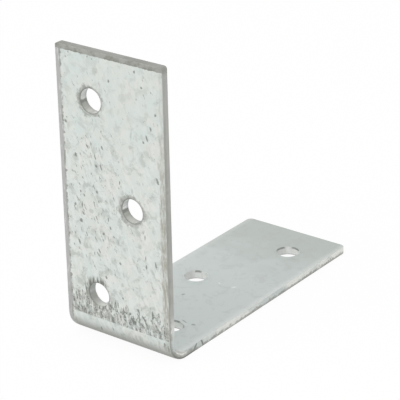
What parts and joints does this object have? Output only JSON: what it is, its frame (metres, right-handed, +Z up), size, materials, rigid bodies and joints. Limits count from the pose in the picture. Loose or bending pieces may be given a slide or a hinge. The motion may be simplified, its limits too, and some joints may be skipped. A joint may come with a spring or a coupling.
{
  "type": "corner brace bracket",
  "caption": "L-shaped corner brace folded from a strip of galvanised steel sheet, with screw holes zigzagging along both legs.",
  "frame": {"origin": "middle of the footprint on the surface that the brace stands on: halfway along the horizontal leg and halfway across the strip, at the underside", "axes": "+Z up along the vertical leg, +Y from the vertical leg towards the horizontal leg's tip, X across the strip; seen from the vertical leg's outer face with Z up, +X is to the right"},
  "size_m": [0.025, 0.0604, 0.06],
  "materials": {
    "galvanised_steel": "hot-dip galvanised, dull pale grey with a faint mottle, small pits and scuffs"
  },
  "bodies": {
    "root": {"corner_brace": "galvanised_steel"}
  },
  "joints": []
}
